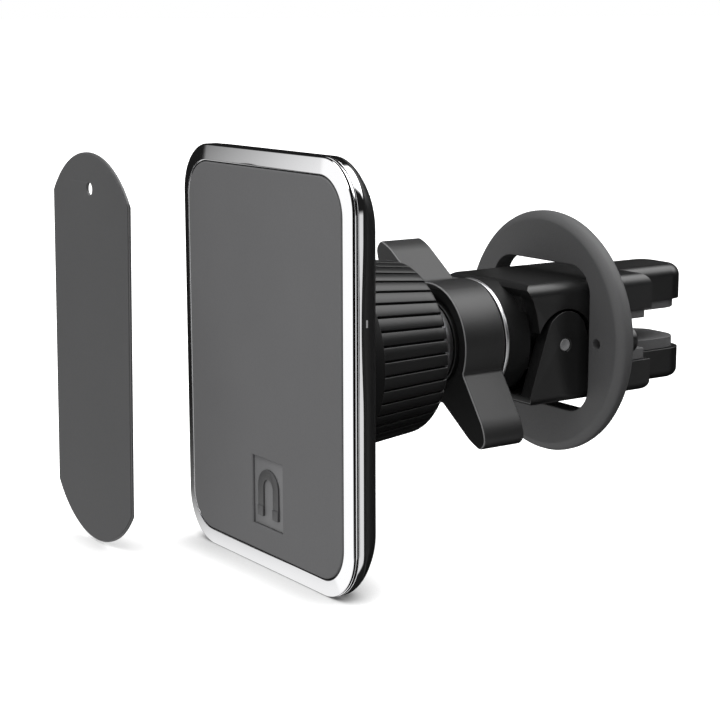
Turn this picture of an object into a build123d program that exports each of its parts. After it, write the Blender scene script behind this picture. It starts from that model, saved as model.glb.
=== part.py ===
from build123d import *
import os
from math import cos, radians, sin

os.makedirs("parts", exist_ok=True)

# A magnetic phone mount that clips on a car's air vent blade. Units are mm.
# +Z up, the phone face looks along -Y and the jaws point along +Y. The origin is where a vent
# blade is gripped, on the axis of the ball stem. Stations are distances behind the pad's front.

bladeStation = 78.0          # from the pad's front to the origin
runFit = 0.05                # radial running clearance
partGap = 0.3                # clearance between moving pieces

# head
bezelWidth, bezelHeight, bezelCorner = 50.6, 68.0, 8.2
padWidth, padHeight, padCorner = 46.0, 62.2, 6.0
padThickness, padEdge = 1.6, 0.35
padSeam = 0.2                # dark gap between the pad and the bezel
bezelFront, bezelBack = 0.1, 2.9
bezelBevel = 0.65
grooveDepth, grooveWidth = 0.25, 0.3
grooveStations = (0.95, 1.75)
badgeWidth, badgeHeight, badgeDepth = 9.2, 11.4, 0.6
badgeX, badgeZ, badgePlay = 1.3, -21.2, 0.1
badgePlate, emblemRelief = 0.2, 0.3
emblemOuter, emblemInner, emblemLeg, emblemRise = 3.2, 1.5, 4.4, 0.6
filmThickness, filmInset = 0.15, 0.8
trayDepth, trayWall, magnetThickness, magnetRadius = 1.9, 0.5, 1.6, 6.0
magnetPitchX, magnetPitchZ = 19.0, 16.0
yokeWidth, yokeHeight, yokeThickness, yokeCorner = 44.0, 46.0, 0.6, 2.0
shellBack, shellWall, shellCorner, shellFillet = 6.0, 1.45, 9.5, 2.6
shellInset = 0.1
screwX, screwZ = 18.5, 27.0
screwRadius, screwHeadRadius, screwPostRadius = 0.9, 1.8, 2.6
screwTipGap = 0.7            # from a shell screw's tip to the tray's front

# ball joint
ballStation, ballRadius = 18.5, 8.5
linerWall = 0.85
neckRadius, shankRadius, tenonRadius = 4.4, 4.95, 3.6
neckBack, shankFront, stemBack = 30.4, 30.9, 51.8
socketFlangeRadius, socketFlangeBack = 16.2, 8.6
socketRadius, socketTaperRadius = 12.2, 11.2
socketTaperStart, socketBack = 22.0, 25.4
socketMouth = 10.2
fingerSlot = 1.2
socketScrewRing, socketScrewDepth = 14.6, 2.0
fingerDepth = 4.0            # of the finger slots, past the ball's centre

# lock collar
collarFront, collarBack = 9.6, 26.7
collarRingEnd = 13.0
collarFrontRadius, collarBackRadius = 15.9, 14.45
collarRingRadius = 16.2
collarMouth = 10.9
collarNutRadius = 13.9
ribCount, ribGroove, ribDepth = 42, 0.45, 0.4
collarRimChamfer, slipGap, nutRecess, threadFit = 0.5, 0.1, 0.4, 0.1

# wing nut and clamp screw
hubFront, hubBack, hubRadius = 33.0, 41.5, 10.35
driveRadius, driveBack = 6.3, 47.6
insertRadius, insertRecess = 7.4, 0.1
wingEdge, wingTipRadius = 0.3, 1.1
wingTip = [(9.2, -4.4), (15.0, -12.0), (15.7, -14.6), (14.3, -16.1), (11.6, -15.0), (3.6, -9.7)]
clipFront, clipRadius, clipThickness = 32.2, 7.2, 0.6
clipGroove, clipGrooveDepth, clipMouth = (32.1, 32.9), 0.6, 6.4
washerRadius, washerThickness = 10.3, 0.7
sliderFront, sliderBack = 44.6, 46.5
sliderFlange, rampFlat = 1.0, 1.8
wedgeHalf, wedgeNose, wedgeBottom, wedgeTop, wedgeFoot = 4.0, 47.9, -8.7, -5.0, 0.6

# clamp
barrelFront, barrelBack, barrelRadius = 42.4, 47.1, 10.0
cavityFront, cavityBack, cavityRadius = 44.0, 48.4, 8.6
crossPinStation, crossPinRadius, crossPinLow, crossPinLength = 50.1, 1.0, -4.8, 11.0
jawHalf, tipHalf = 11.5, 6.0
jawEnd, tipEnd = 73.3, 87.5
jawTop, jawBottom = 10.0, -10.9
upperFace, lowerFace = 3.75, -5.3
upperPadFace, lowerPadFace = 2.15, -3.2
padStart, upperPadStart, padInset, padSetback = 66.4, 67.0, 1.3, 0.3
padTenonStation, padTenonWidth, padTenonLength, padTenonDepth = 74.4, 6.0, 12.0, 1.0
pinStation, pinZ, pinRadius, pinRecess, pinEdge = 53.6, -0.8, 1.15, 0.1, 0.2
earRadius, earRise, earShift, earWall = 4.35, 1.4, 0.3, 2.6
notchRadius = 6.2
blockHalf, blockBottom, blockTop = 8.6, -4.8, 8.0
blockSlope, blockBack = (56.6, 60.0), 62.0
nose = [(44.9, 10.0), (46.3, 7.4), (47.1, 5.2), (47.9, 1.6)]
jawTipRadius, jawBaseRadius, jawInnerRadius = 4.2, 3.0, 1.4
jawTopFillet, jawBottomFillet = 2.2, 1.6
tailFront, tailEdge, floorTop, hollowEnd, hollowTop = 46.0, 0.8, -9.2, 59.3, -2.0
windowBack, windowPlay, windowTop = 50.4, 0.5, -8.3
springStart, springPocket, springPocketRadius = 4.2, 4.0, 3.1
lugBack, lugBottom, lugTop, lugReach = 65.8, -2.8, 1.6, 2.2
lugShoulder, lugThin = 1.0, 0.6

# support ring
ringFront, ringBack, ringRadius = 57.7, 61.3, 21.4
ringOpeningWidth, ringOpeningHeight, ringOpeningCorner = 26.2, 25.6, 5.0
ringX, ringZ = -0.5, -0.6
ringScrewX, ringScrewZ = 14.7, -0.7
ringScrewRadius, ringThreadRadius, ringScrewSunk, ringThreadLength = 0.9, 0.7, 1.4, 2.9
ringRim = [(1.6, 0.0), (0.5, 0.6), (0.0, 1.4)]      # inset from the radius and depth, front edge
ringRimBack = [(0.3, 0.8), (1.0, 0.0)]              # the same from the back
lugSeat = 1.5

# steel plate for the phone
plateWidth, plateHeight, plateThickness = 28.0, 66.3, 0.4
plateX, plateStation, plateZ = -29.4, -15.4, -0.6
plateLean = 1.9
plateShoulder, plateHoleRadius, plateHoleDrop = 7.5, 1.1, 6.0
plateFilm, plateFilmInset = 0.15, 0.25


def at(station):
    # model Y of a station
    return station - bladeStation


def facing(station):
    # plane across the mount at a station, seen from the driver's side
    return Plane.XZ.offset(-at(station))


def save(piece, name):
    piece.part.label = name
    export_step(piece.part, f"parts/{name}.step")
    print(f"{name}: {piece.part.volume:.1f} mm3, {len(piece.part.solids())} solids")


def turned(points):
    # closed profile of (radius, station) points
    Polyline(*[(radius, at(station)) for radius, station in points], close=True)


# head

with BuildPart() as face_pad:
    with BuildSketch(facing(0)):
        RectangleRounded(padWidth, padHeight, padCorner)
    extrude(amount=-padThickness)
    chamfer(edges().group_by(Axis.Y)[0], padEdge)
    with BuildSketch(facing(0)):
        with Locations((badgeX, badgeZ)):
            Rectangle(badgeWidth, badgeHeight)
    extrude(amount=-badgeDepth, mode=Mode.SUBTRACT)
save(face_pad, "face_pad")

# a horseshoe magnet in raised outline, on a plate inside the recess
with BuildPart() as pad_badge:
    with BuildSketch(facing(badgeDepth)):
        with Locations((badgeX, badgeZ)):
            Rectangle(badgeWidth - 2 * badgePlay, badgeHeight - 2 * badgePlay)
    extrude(amount=badgePlate)
    with BuildSketch(facing(badgeDepth - badgePlate)):
        with Locations((badgeX, badgeZ + emblemRise)):
            Circle(emblemOuter)
            Rectangle(2 * emblemOuter, emblemLeg, align=(Align.CENTER, Align.MAX))
            Circle(emblemInner, mode=Mode.SUBTRACT)
            Rectangle(2 * emblemInner, emblemLeg, align=(Align.CENTER, Align.MAX), mode=Mode.SUBTRACT)
    extrude(amount=emblemRelief)
save(pad_badge, "pad_badge")

with BuildPart() as pad_adhesive:
    with BuildSketch(facing(padThickness)):
        RectangleRounded(padWidth - 2 * filmInset, padHeight - 2 * filmInset, padCorner - filmInset)
    extrude(amount=-filmThickness)
save(pad_adhesive, "pad_adhesive")

with BuildPart() as chrome_bezel:
    with BuildSketch(facing(bezelFront)):
        RectangleRounded(bezelWidth, bezelHeight, bezelCorner)
    extrude(amount=-(bezelBack - bezelFront))
    chamfer(edges().group_by(Axis.Y)[0], bezelBevel)
    with BuildSketch(facing(bezelFront)):
        RectangleRounded(padWidth + 2 * padSeam, padHeight + 2 * padSeam, padCorner + padSeam)
    extrude(amount=-(bezelBack - bezelFront), mode=Mode.SUBTRACT)
    for grooveStation in grooveStations:
        with BuildSketch(facing(grooveStation)):
            RectangleRounded(bezelWidth + 1, bezelHeight + 1, bezelCorner + 0.5)
            RectangleRounded(
                bezelWidth - 2 * grooveDepth,
                bezelHeight - 2 * grooveDepth,
                bezelCorner - grooveDepth,
                mode=Mode.SUBTRACT,
            )
        extrude(amount=-grooveWidth, mode=Mode.SUBTRACT)
save(chrome_bezel, "chrome_bezel")

trayFront = padThickness + filmThickness
trayBack = trayFront + trayDepth
magnetSpots = GridLocations(magnetPitchX, magnetPitchZ, 2, 3)
screwSpots = GridLocations(2 * screwX, 2 * screwZ, 2, 2)
shellFloor = shellBack - shellWall

with BuildPart() as magnet_tray:
    with BuildSketch(facing(trayFront)):
        RectangleRounded(padWidth, padHeight, padCorner)
    extrude(amount=-trayDepth)
    with BuildSketch(facing(trayBack)):
        with screwSpots:
            Circle(screwPostRadius)
    extrude(amount=-(shellFloor - trayBack))
    with BuildSketch(facing(trayBack)):
        with magnetSpots:
            Circle(magnetRadius + runFit)
    extrude(amount=magnetThickness, mode=Mode.SUBTRACT)
    with BuildSketch(facing(shellFloor)):
        with screwSpots:
            Circle(screwRadius)
    extrude(amount=shellFloor - trayFront - trayWall, mode=Mode.SUBTRACT)
save(magnet_tray, "magnet_tray")

with BuildPart() as magnets:
    with BuildSketch(facing(trayBack)):
        with magnetSpots:
            Circle(magnetRadius)
    extrude(amount=magnetThickness)
save(magnets, "magnets")

with BuildPart() as yoke_plate:
    with BuildSketch(facing(trayBack)):
        RectangleRounded(yokeWidth, yokeHeight, yokeCorner)
    extrude(amount=-yokeThickness)
save(yoke_plate, "yoke_plate")

with BuildPart() as rear_shell:
    with BuildSketch(facing(bezelBack)):
        RectangleRounded(bezelWidth - 2 * shellInset, bezelHeight - 2 * shellInset, shellCorner)
    extrude(amount=-(shellBack - bezelBack))
    fillet(edges().group_by(Axis.Y)[-1], shellFillet)
    with BuildSketch(facing(bezelBack)):
        RectangleRounded(padWidth + 2 * padSeam, padHeight + 2 * padSeam, padCorner + 1)
    extrude(amount=-(shellFloor - bezelBack), mode=Mode.SUBTRACT)
    with Locations(Plane(origin=(0, at(shellBack), 0), x_dir=(1, 0, 0), z_dir=(0, 1, 0))):
        with GridLocations(2 * screwX, 2 * screwZ, 2, 2):
            CounterSinkHole(screwRadius + runFit, screwHeadRadius + runFit, counter_sink_angle=90)
    with Locations(facing(shellFloor)):
        with PolarLocations(socketScrewRing, 3, start_angle=90):
            CounterSinkHole(screwRadius + runFit, screwHeadRadius + runFit, counter_sink_angle=90)
save(rear_shell, "rear_shell")


def screwProfile(length):
    # countersunk screw, head on the sketch's Y axis at 0, shank towards -Y
    Polyline(
        (0, 0),
        (screwHeadRadius, 0),
        (screwRadius, -(screwHeadRadius - screwRadius)),
        (screwRadius, -length),
        (0, -length),
        close=True,
    )


with BuildPart(mode=Mode.PRIVATE) as shellScrew:
    with BuildSketch(Plane.XY):
        with BuildLine():
            screwProfile(shellBack - trayFront - screwTipGap)
        make_face()
    revolve(axis=Axis.Y)

with BuildPart() as shell_screws:
    with Locations(*[Location((x, at(shellBack), z)) for x in (-screwX, screwX) for z in (-screwZ, screwZ)]):
        add(shellScrew.part)
save(shell_screws, "shell_screws")

# socket: a sphere that holds the friction ring, cut into fingers that the collar squeezes
linerInner = ballRadius + runFit
linerOuter = linerInner + linerWall
gripInner = linerOuter + runFit
gripOuter = gripInner + linerWall
socketInner = gripOuter + runFit
socketLip = socketInner * cos(radians(62))
socketLipRadius = socketInner * sin(radians(62))

with BuildPart() as ball_socket:
    with BuildSketch(Plane.XY):
        with BuildLine():
            turned([
                (0, shellBack),
                (socketFlangeRadius, shellBack),
                (socketFlangeRadius, socketFlangeBack),
                (socketRadius, socketFlangeBack),
                (socketRadius, socketTaperStart),
                (socketTaperRadius, socketBack),
                (socketMouth, socketBack),
                (socketLipRadius, ballStation + socketLip),
                (0, ballStation + socketLip),
            ])
        make_face()
    revolve(axis=Axis.Y)
    with Locations((0, at(ballStation), 0)):
        Sphere(socketInner, mode=Mode.SUBTRACT)
    with BuildSketch(facing(socketBack)):
        Rectangle(2 * socketRadius + 2, fingerSlot)
        Rectangle(fingerSlot, 2 * socketRadius + 2)
    extrude(amount=socketBack - ballStation + fingerDepth, mode=Mode.SUBTRACT)
    with BuildSketch(facing(shellBack)):
        with PolarLocations(socketScrewRing, 3, start_angle=90):
            Circle(screwRadius)
    extrude(amount=-socketScrewDepth, mode=Mode.SUBTRACT)
save(ball_socket, "ball_socket")

with BuildPart(mode=Mode.PRIVATE) as socketScrew:
    with BuildSketch(Plane.XY):
        with BuildLine():
            screwProfile(shellWall + socketScrewDepth)
        make_face()
    revolve(axis=Axis.Y)

with BuildPart() as socket_screws:
    with Locations(facing(shellFloor)):
        with PolarLocations(socketScrewRing, 3, start_angle=90):
            add(socketScrew.part, rotation=(90, 0, 0))
save(socket_screws, "socket_screws")


def shellOfSphere(inner, outer, rearAngle, frontAngle):
    # half section of a spherical zone round the ball, angles from the rear pole
    angles = [radians(rearAngle), radians((rearAngle + frontAngle) / 2), radians(frontAngle)]
    centre = at(ballStation)
    outside = [(outer * sin(a), centre + outer * cos(a)) for a in angles]
    inside = [(inner * sin(a), centre + inner * cos(a)) for a in reversed(angles)]
    ThreePointArc(*outside)
    Line(outside[2], inside[0])
    ThreePointArc(*inside)
    Line(inside[2], outside[0])


with BuildPart() as ball_liner:
    with BuildSketch(Plane.XY):
        with BuildLine():
            shellOfSphere(linerInner, linerOuter, 56, 165)
        make_face()
    revolve(axis=Axis.Y)
save(ball_liner, "ball_liner")

with BuildPart() as friction_ring:
    with BuildSketch(Plane.XY):
        with BuildLine():
            shellOfSphere(gripInner, gripOuter, 66, 125)
        make_face()
    revolve(axis=Axis.Y)
save(friction_ring, "friction_ring")

# lock collar

slipFront = socketFlangeBack + slipGap

with BuildPart() as slip_ring:
    with BuildSketch(facing(slipFront)):
        Circle(collarRingRadius - collarRimChamfer)
        Circle(socketRadius + runFit, mode=Mode.SUBTRACT)
    extrude(amount=-(collarFront - slipFront - slipGap))
save(slip_ring, "slip_ring")

nutBack = collarBack - nutRecess
with BuildPart() as collar_nut:
    with BuildSketch(Plane.XY):
        with BuildLine():
            turned([
                (socketRadius + threadFit, collarFront),
                (collarNutRadius, collarFront),
                (collarNutRadius, nutBack),
                (collarMouth, nutBack),
                (collarMouth, socketBack + 2 * threadFit),
                (socketTaperRadius + threadFit, socketBack + threadFit),
                (socketRadius + threadFit, socketTaperStart - threadFit),
            ])
        make_face()
    revolve(axis=Axis.Y)
save(collar_nut, "collar_nut")

with BuildPart(mode=Mode.PRIVATE) as ribCutter:
    with BuildSketch(Plane.YZ):
        with BuildLine():
            Polyline(
                (at(collarRingEnd), collarFrontRadius - ribDepth),
                (at(collarBack) + 1, collarBackRadius - ribDepth),
                (at(collarBack) + 1, collarFrontRadius + 1),
                (at(collarRingEnd), collarFrontRadius + 1),
                close=True,
            )
        make_face()
    extrude(amount=ribGroove / 2, both=True)

with BuildPart() as collar_grip:
    with BuildSketch(Plane.XY):
        with BuildLine():
            turned([
                (collarNutRadius, collarFront),
                (collarRingRadius - collarRimChamfer, collarFront),
                (collarRingRadius, collarFront + collarRimChamfer),
                (collarRingRadius, collarRingEnd - (collarRingRadius - collarFrontRadius)),
                (collarFrontRadius, collarRingEnd),
                (collarBackRadius, collarBack - collarRimChamfer),
                (collarBackRadius - collarRimChamfer, collarBack),
                (collarMouth, collarBack),
                (collarMouth, nutBack),
                (collarNutRadius, nutBack),
            ])
        make_face()
    revolve(axis=Axis.Y)
    with Locations(*[Location((0, 0, 0), (0, 360 * turn / ribCount, 0)) for turn in range(ribCount)]):
        add(ribCutter.part, mode=Mode.SUBTRACT)
save(collar_grip, "collar_grip")

# stem, wing nut and drive

with BuildPart() as ball_stem:
    with BuildSketch(Plane.XY):
        with BuildLine():
            turned([
                (0, ballStation),
                (neckRadius, ballStation),
                (neckRadius, neckBack),
                (shankRadius, shankFront),
                (shankRadius, clipGroove[0]),
                (shankRadius - clipGrooveDepth, clipGroove[0]),
                (shankRadius - clipGrooveDepth, clipGroove[1]),
                (shankRadius, clipGroove[1]),
                (shankRadius, cavityBack),
                (tenonRadius, cavityBack),
                (tenonRadius, stemBack),
                (0, stemBack),
            ])
        make_face()
    revolve(axis=Axis.Y)
    with Locations((0, at(ballStation), 0)):
        Sphere(ballRadius)
    with BuildSketch(Plane.XY.offset(-jawHalf)):
        with Locations((0, at(crossPinStation))):
            Circle(crossPinRadius)
    extrude(amount=2 * jawHalf, mode=Mode.SUBTRACT)
save(ball_stem, "ball_stem")

with BuildPart() as stem_cross_pin:
    with BuildSketch(Plane.XY.offset(crossPinLow)):
        with Locations((0, at(crossPinStation))):
            Circle(crossPinRadius)
    extrude(amount=crossPinLength)
save(stem_cross_pin, "stem_cross_pin")

# open spring clip in the stem's groove, which keeps the wing nut on
with BuildPart() as nut_clip:
    with BuildSketch(facing(clipFront)):
        Circle(clipRadius)
        Circle(shankRadius - clipGrooveDepth + runFit, mode=Mode.SUBTRACT)
        Rectangle(clipMouth, 2 * clipRadius, align=(Align.CENTER, Align.MAX), mode=Mode.SUBTRACT)
    extrude(amount=-clipThickness)
save(nut_clip, "nut_clip")

with BuildPart() as wing_nut:
    with BuildSketch(facing(hubFront)):
        Circle(hubRadius)
        for side in (1, -1):
            with BuildLine():
                Polyline(*[(side * x, side * z) for x, z in wingTip], (0, 0), close=True)
            make_face()
        tips = [corner for corner in vertices() if abs(corner.Z) > hubRadius + 2]
        fillet(tips, wingTipRadius)
    extrude(amount=-(hubBack - hubFront))
    chamfer(edges().group_by(Axis.Y)[0], wingEdge)
    with BuildSketch(facing(hubFront)):
        Circle(insertRadius)
    extrude(amount=-(hubBack - hubFront), mode=Mode.SUBTRACT)
save(wing_nut, "wing_nut")

with BuildPart() as drive_screw:
    with BuildSketch(Plane.XY):
        with BuildLine():
            turned([
                (shankRadius + runFit, hubFront + insertRecess),
                (insertRadius, hubFront + insertRecess),
                (insertRadius, hubBack),
                (driveRadius, hubBack),
                (driveRadius, driveBack),
                (shankRadius + runFit, driveBack),
            ])
        make_face()
    revolve(axis=Axis.Y)
save(drive_screw, "drive_screw")

with BuildPart() as thrust_washer:
    with BuildSketch(facing(barrelFront - washerThickness)):
        Circle(washerRadius)
        Circle(driveRadius + partGap, mode=Mode.SUBTRACT)
    extrude(amount=-washerThickness)
save(thrust_washer, "thrust_washer")

# the slider is a nut on the drive screw whose lower arm wedges the jaw's tail down
with BuildPart() as wedge_slider:
    with BuildSketch(facing(sliderFront)):
        Circle(driveRadius + sliderFlange)
    extrude(amount=-(sliderBack - sliderFront))
    with BuildSketch(Plane.YZ):
        with BuildLine():
            Polyline(
                (at(sliderFront), wedgeTop),
                (at(sliderFront), wedgeBottom),
                (at(sliderFront + wedgeFoot), wedgeBottom),
                (at(wedgeNose), wedgeBottom + wedgeNose - sliderFront - wedgeFoot),
                (at(wedgeNose), wedgeTop),
                close=True,
            )
        make_face()
    extrude(amount=wedgeHalf, both=True)
    with BuildSketch(facing(sliderFront)):
        Circle(driveRadius + runFit)
    extrude(amount=-(wedgeNose - sliderFront), mode=Mode.SUBTRACT)
save(wedge_slider, "wedge_slider")

# clamp


def planOutline(inset, front, baseEnd, tip):
    # T-shaped plan of a jaw, a wide base and a narrower tip, as a closed line
    half, small = jawHalf - inset, tipHalf - inset
    Polyline(
        (-half, at(front)),
        (half, at(front)),
        (half, at(baseEnd)),
        (small, at(baseEnd)),
        (small, at(tip)),
        (-small, at(tip)),
        (-small, at(baseEnd)),
        (-half, at(baseEnd)),
        close=True,
    )


def planCorners(corners, inset):
    # corners of the plan with their radii: tip, base and the inner corners between them
    levels = corners.group_by(Axis.Y)
    outer = [corner for corner in levels[-2] if abs(corner.X) > tipHalf + 1]
    inner = [corner for corner in levels[-2] if abs(corner.X) <= tipHalf + 1]
    return (
        (levels[-1], jawTipRadius - inset / 2),
        (outer, jawBaseRadius - inset / 2),
        (inner, jawInnerRadius + inset / 2),
    )


lugFront = ringBack - lugSeat + runFit
pinY = at(pinStation)

with BuildPart() as upper_jaw:
    # jaw and box in plan, with soft top edges
    with BuildSketch(Plane.XY.offset(blockBottom)):
        with BuildLine():
            planOutline(0, nose[0][0], jawEnd, tipEnd)
        make_face()
        for corners, radius in planCorners(vertices(), 0):
            fillet(corners, radius)
    extrude(amount=jawTop - blockBottom)
    fillet(edges().group_by(Axis.Z)[-1], jawTopFillet)
    # its side profile: slanted front, notch round the ear, lug, and the jaw's underside
    with BuildSketch(Plane.YZ):
        with BuildLine():
            Polyline(
                *[(at(place), z) for place, z in nose],
                (at(lugFront), lugTop),
                (at(lugFront), lugBottom),
                (at(lugBack), lugBottom),
                (at(lugBack), upperFace - lugShoulder),
                (at(lugBack + lugShoulder), upperFace),
                (at(tipEnd + 1), upperFace),
                (at(tipEnd + 1), jawTop),
                close=True,
            )
        make_face()
        with Locations((pinY, pinZ)):
            Circle(notchRadius, mode=Mode.SUBTRACT)
    extrude(amount=jawHalf + 1, both=True, mode=Mode.INTERSECT)
    # round barrel for the drive and the block that holds stem and hinge pin
    with BuildSketch(facing(barrelFront)):
        Circle(barrelRadius)
    extrude(amount=-(barrelBack - barrelFront))
    with BuildSketch(Plane.YZ):
        with BuildLine():
            Polyline(
                (at(barrelBack - 1), blockBottom),
                (at(blockSlope[0]), blockBottom),
                (at(blockSlope[1]), lugBottom),
                (at(blockBack), lugBottom),
                (at(blockBack), blockTop),
                (at(barrelBack - 1), blockTop),
                close=True,
            )
        make_face()
    extrude(amount=blockHalf, both=True)
    # lugs for the ring's screws
    with BuildSketch(facing(lugFront)):
        with Locations((0, (lugTop + lugBottom) / 2)):
            SlotOverall(2 * (ringScrewX + lugReach), lugTop - lugBottom)
    extrude(amount=-(lugBack - lugThin - lugFront))
    # cavity for the slider, bores for drive and stem
    with BuildSketch(facing(cavityFront)):
        Circle(cavityRadius)
    extrude(amount=-(cavityBack - cavityFront), mode=Mode.SUBTRACT)
    with BuildSketch(facing(barrelFront)):
        Circle(driveRadius + partGap)
    extrude(amount=-(cavityFront - barrelFront), mode=Mode.SUBTRACT)
    with BuildSketch(facing(cavityBack)):
        Circle(tenonRadius)
    extrude(amount=-(stemBack - cavityBack), mode=Mode.SUBTRACT)
    # window below for the wedge arm and the jaw's tail
    with BuildSketch(Plane.YZ):
        with BuildLine():
            Polyline(
                (at(cavityFront), jawBottom - 1),
                (at(cavityFront), windowTop),
                (at(windowBack), windowTop),
                (at(windowBack), jawBottom - 1),
                close=True,
            )
        make_face()
    extrude(amount=jawHalf, both=True, mode=Mode.SUBTRACT)
    with BuildSketch(Plane.XY.offset(jawBottom - 1)):
        with Locations((0, at(cavityFront))):
            Rectangle(
                2 * (wedgeHalf + windowPlay),
                windowBack - cavityFront,
                align=(Align.CENTER, Align.MIN),
            )
    extrude(amount=blockBottom - jawBottom + 1, mode=Mode.SUBTRACT)
    # hinge pin and cross pin
    with BuildSketch(Plane.YZ.offset(-jawHalf)):
        with Locations((pinY, pinZ)):
            Circle(pinRadius)
    extrude(amount=2 * jawHalf, mode=Mode.SUBTRACT)
    with BuildSketch(Plane.XY.offset(crossPinLow)):
        with Locations((0, at(crossPinStation))):
            Circle(crossPinRadius)
    extrude(amount=crossPinLength, mode=Mode.SUBTRACT)
    # spring pocket beside the stem
    with BuildSketch(Plane.YZ.offset(springStart)):
        with Locations((pinY, pinZ)):
            Circle(springPocketRadius)
            Rectangle(2 * springPocketRadius, notchRadius, align=(Align.CENTER, Align.MAX))
    extrude(amount=springPocket, mode=Mode.SUBTRACT)
    # screw holes in the lugs
    with BuildSketch(facing(lugFront)):
        with Locations((-ringScrewX, ringScrewZ), (ringScrewX, ringScrewZ)):
            Circle(ringThreadRadius)
    extrude(amount=-ringThreadLength, mode=Mode.SUBTRACT)
    # seat of the rubber pad's tenon
    with BuildSketch(Plane.XY.offset(upperFace)):
        with Locations((0, at(padTenonStation))):
            Rectangle(padTenonWidth, padTenonLength)
    extrude(amount=padTenonDepth, mode=Mode.SUBTRACT)
save(upper_jaw, "upper_jaw")

with BuildPart() as upper_pad:
    with BuildSketch(Plane.XY.offset(upperPadFace)):
        with BuildLine():
            planOutline(padSetback, upperPadStart, jawEnd - padInset, tipEnd - padInset)
        make_face()
        for corners, radius in planCorners(vertices(), padSetback):
            fillet(corners, radius)
    extrude(amount=upperFace - upperPadFace)
    with BuildSketch(Plane.XY.offset(upperFace)):
        with Locations((0, at(padTenonStation))):
            Rectangle(padTenonWidth, padTenonLength)
    extrude(amount=padTenonDepth)
save(upper_pad, "upper_pad")

with BuildPart() as lower_jaw:
    with BuildSketch(Plane.XY.offset(jawBottom)):
        with BuildLine():
            planOutline(0, tailFront, jawEnd, tipEnd)
        make_face()
        for corners, radius in planCorners(vertices(), 0):
            fillet(corners, radius)
    extrude(amount=earRadius + earRise + pinZ - jawBottom)
    fillet(edges().group_by(Axis.Z)[0], jawBottomFillet)
    # side profile: the round ear runs down to the tail, then the long jaw
    with BuildSketch(Plane.YZ):
        with Locations((pinY + earShift, pinZ + earRise)):
            Circle(earRadius)
        with BuildLine():
            Polyline(
                (at(tailFront + tailEdge), jawBottom - 1),
                (at(tailFront), jawBottom + tailEdge),
                (at(tailFront), floorTop),
                (at(hollowEnd), hollowTop),
                (at(hollowEnd), jawBottom - 1),
                close=True,
            )
        make_face()
        make_hull()
        with Locations((at(hollowEnd) - 1, jawBottom - 1)):
            Rectangle(tipEnd - hollowEnd + 2, lowerFace - jawBottom + 1, align=(Align.MIN, Align.MIN))
    extrude(amount=jawHalf + 1, both=True, mode=Mode.INTERSECT)
    # hollow between the ears
    with BuildSketch(Plane.XY.offset(floorTop)):
        with Locations((0, at(tailFront - 1))):
            Rectangle(
                2 * (jawHalf - earWall),
                hollowEnd - tailFront + 1,
                align=(Align.CENTER, Align.MIN),
            )
    extrude(amount=jawTop - floorTop, mode=Mode.SUBTRACT)
    # ramp that the wedge bears on
    rampLine = wedgeBottom - sliderFront - wedgeFoot - 2 * partGap
    with BuildSketch(Plane.YZ):
        with BuildLine():
            Polyline(
                (at(tailFront), floorTop),
                (at(tailFront), rampLine + tailFront),
                (at(wedgeNose), rampLine + wedgeNose),
                (at(wedgeNose + rampFlat), rampLine + wedgeNose),
                (at(wedgeNose + rampFlat), floorTop),
                close=True,
            )
        make_face()
    extrude(amount=wedgeHalf, both=True)
    with BuildSketch(Plane.YZ.offset(-jawHalf)):
        with Locations((pinY, pinZ)):
            Circle(pinRadius + runFit)
    extrude(amount=2 * jawHalf, mode=Mode.SUBTRACT)
    with BuildSketch(Plane.XY.offset(lowerFace)):
        with Locations((0, at(padTenonStation))):
            Rectangle(padTenonWidth, padTenonLength)
    extrude(amount=-padTenonDepth, mode=Mode.SUBTRACT)
save(lower_jaw, "lower_jaw")

with BuildPart() as lower_pad:
    with BuildSketch(Plane.XY.offset(lowerPadFace)):
        with BuildLine():
            planOutline(padSetback, padStart, jawEnd - padInset, tipEnd - padInset)
        make_face()
        for corners, radius in planCorners(vertices(), padSetback):
            fillet(corners, radius)
    extrude(amount=lowerFace - lowerPadFace)
    with BuildSketch(Plane.XY.offset(lowerFace)):
        with Locations((0, at(padTenonStation))):
            Rectangle(padTenonWidth, padTenonLength)
    extrude(amount=-padTenonDepth)
save(lower_pad, "lower_pad")

with BuildPart() as hinge_pin:
    with BuildSketch(Plane.YZ.offset(pinRecess - jawHalf)):
        with Locations((pinY, pinZ)):
            Circle(pinRadius)
    extrude(amount=2 * (jawHalf - pinRecess))
    chamfer(edges().group_by(Axis.X)[0] + edges().group_by(Axis.X)[-1], pinEdge)
save(hinge_pin, "hinge_pin")

# torsion spring round the pin, without its legs
wireRadius, coilRadius, coilPitch, coilTurns, coilStart = 0.4, 2.2, 0.95, 3, 4.9
with BuildPart() as jaw_spring:
    with BuildLine():
        coil = Helix(
            coilPitch,
            coilTurns * coilPitch,
            coilRadius,
            center=(coilStart, pinY, pinZ),
            direction=(1, 0, 0),
        )
    with BuildSketch(Plane(origin=coil @ 0, z_dir=coil % 0)):
        Circle(wireRadius)
    sweep(is_frenet=True)
save(jaw_spring, "jaw_spring")

# support ring

with BuildPart(mode=Mode.PRIVATE) as ringDisc:
    with BuildSketch(Plane.XY):
        with BuildLine():
            turned([
                (0, ringFront),
                *[(ringRadius - inset, ringFront + depth) for inset, depth in ringRim],
                *[(ringRadius - inset, ringBack - depth) for inset, depth in ringRimBack],
                (0, ringBack),
            ])
        make_face()
    revolve(axis=Axis.Y)

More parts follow.
